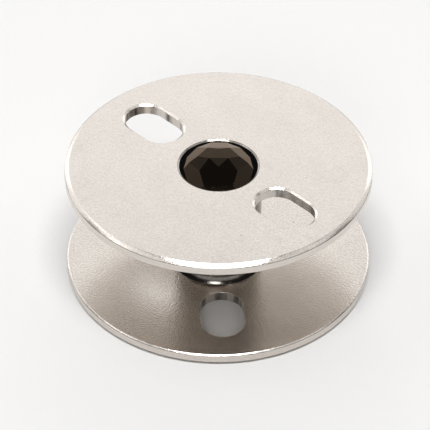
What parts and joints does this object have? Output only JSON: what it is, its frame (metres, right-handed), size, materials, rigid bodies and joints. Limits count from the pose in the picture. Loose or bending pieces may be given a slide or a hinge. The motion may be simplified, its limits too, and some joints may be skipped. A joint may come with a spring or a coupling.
{
  "type": "sewing machine bobbin",
  "caption": "Round metal thread bobbin: flat slotted flanges staked on a thin hub tube, with a faceted black stone set in the upper end of the bore.",
  "frame": {"origin": "on the bore's axis, in the outer face of the lower flange", "axes": "+Z along the axis towards the flange with the stone, +X along the line through the upper flange's two slots"},
  "size_m": [0.0254, 0.0254, 0.0109],
  "materials": {
    "upper_flange": "satin nickel plate",
    "lower_flange": "satin nickel plate",
    "hub_tube": "bright nickel plate",
    "jewel_bed": "black cement",
    "jewel": "polished black, faceted"
  },
  "bodies": {
    "root": {"upper_flange": "upper_flange", "lower_flange": "lower_flange", "hub_tube": "hub_tube", "jewel_bed": "jewel_bed", "jewel": "jewel"}
  },
  "joints": []
}
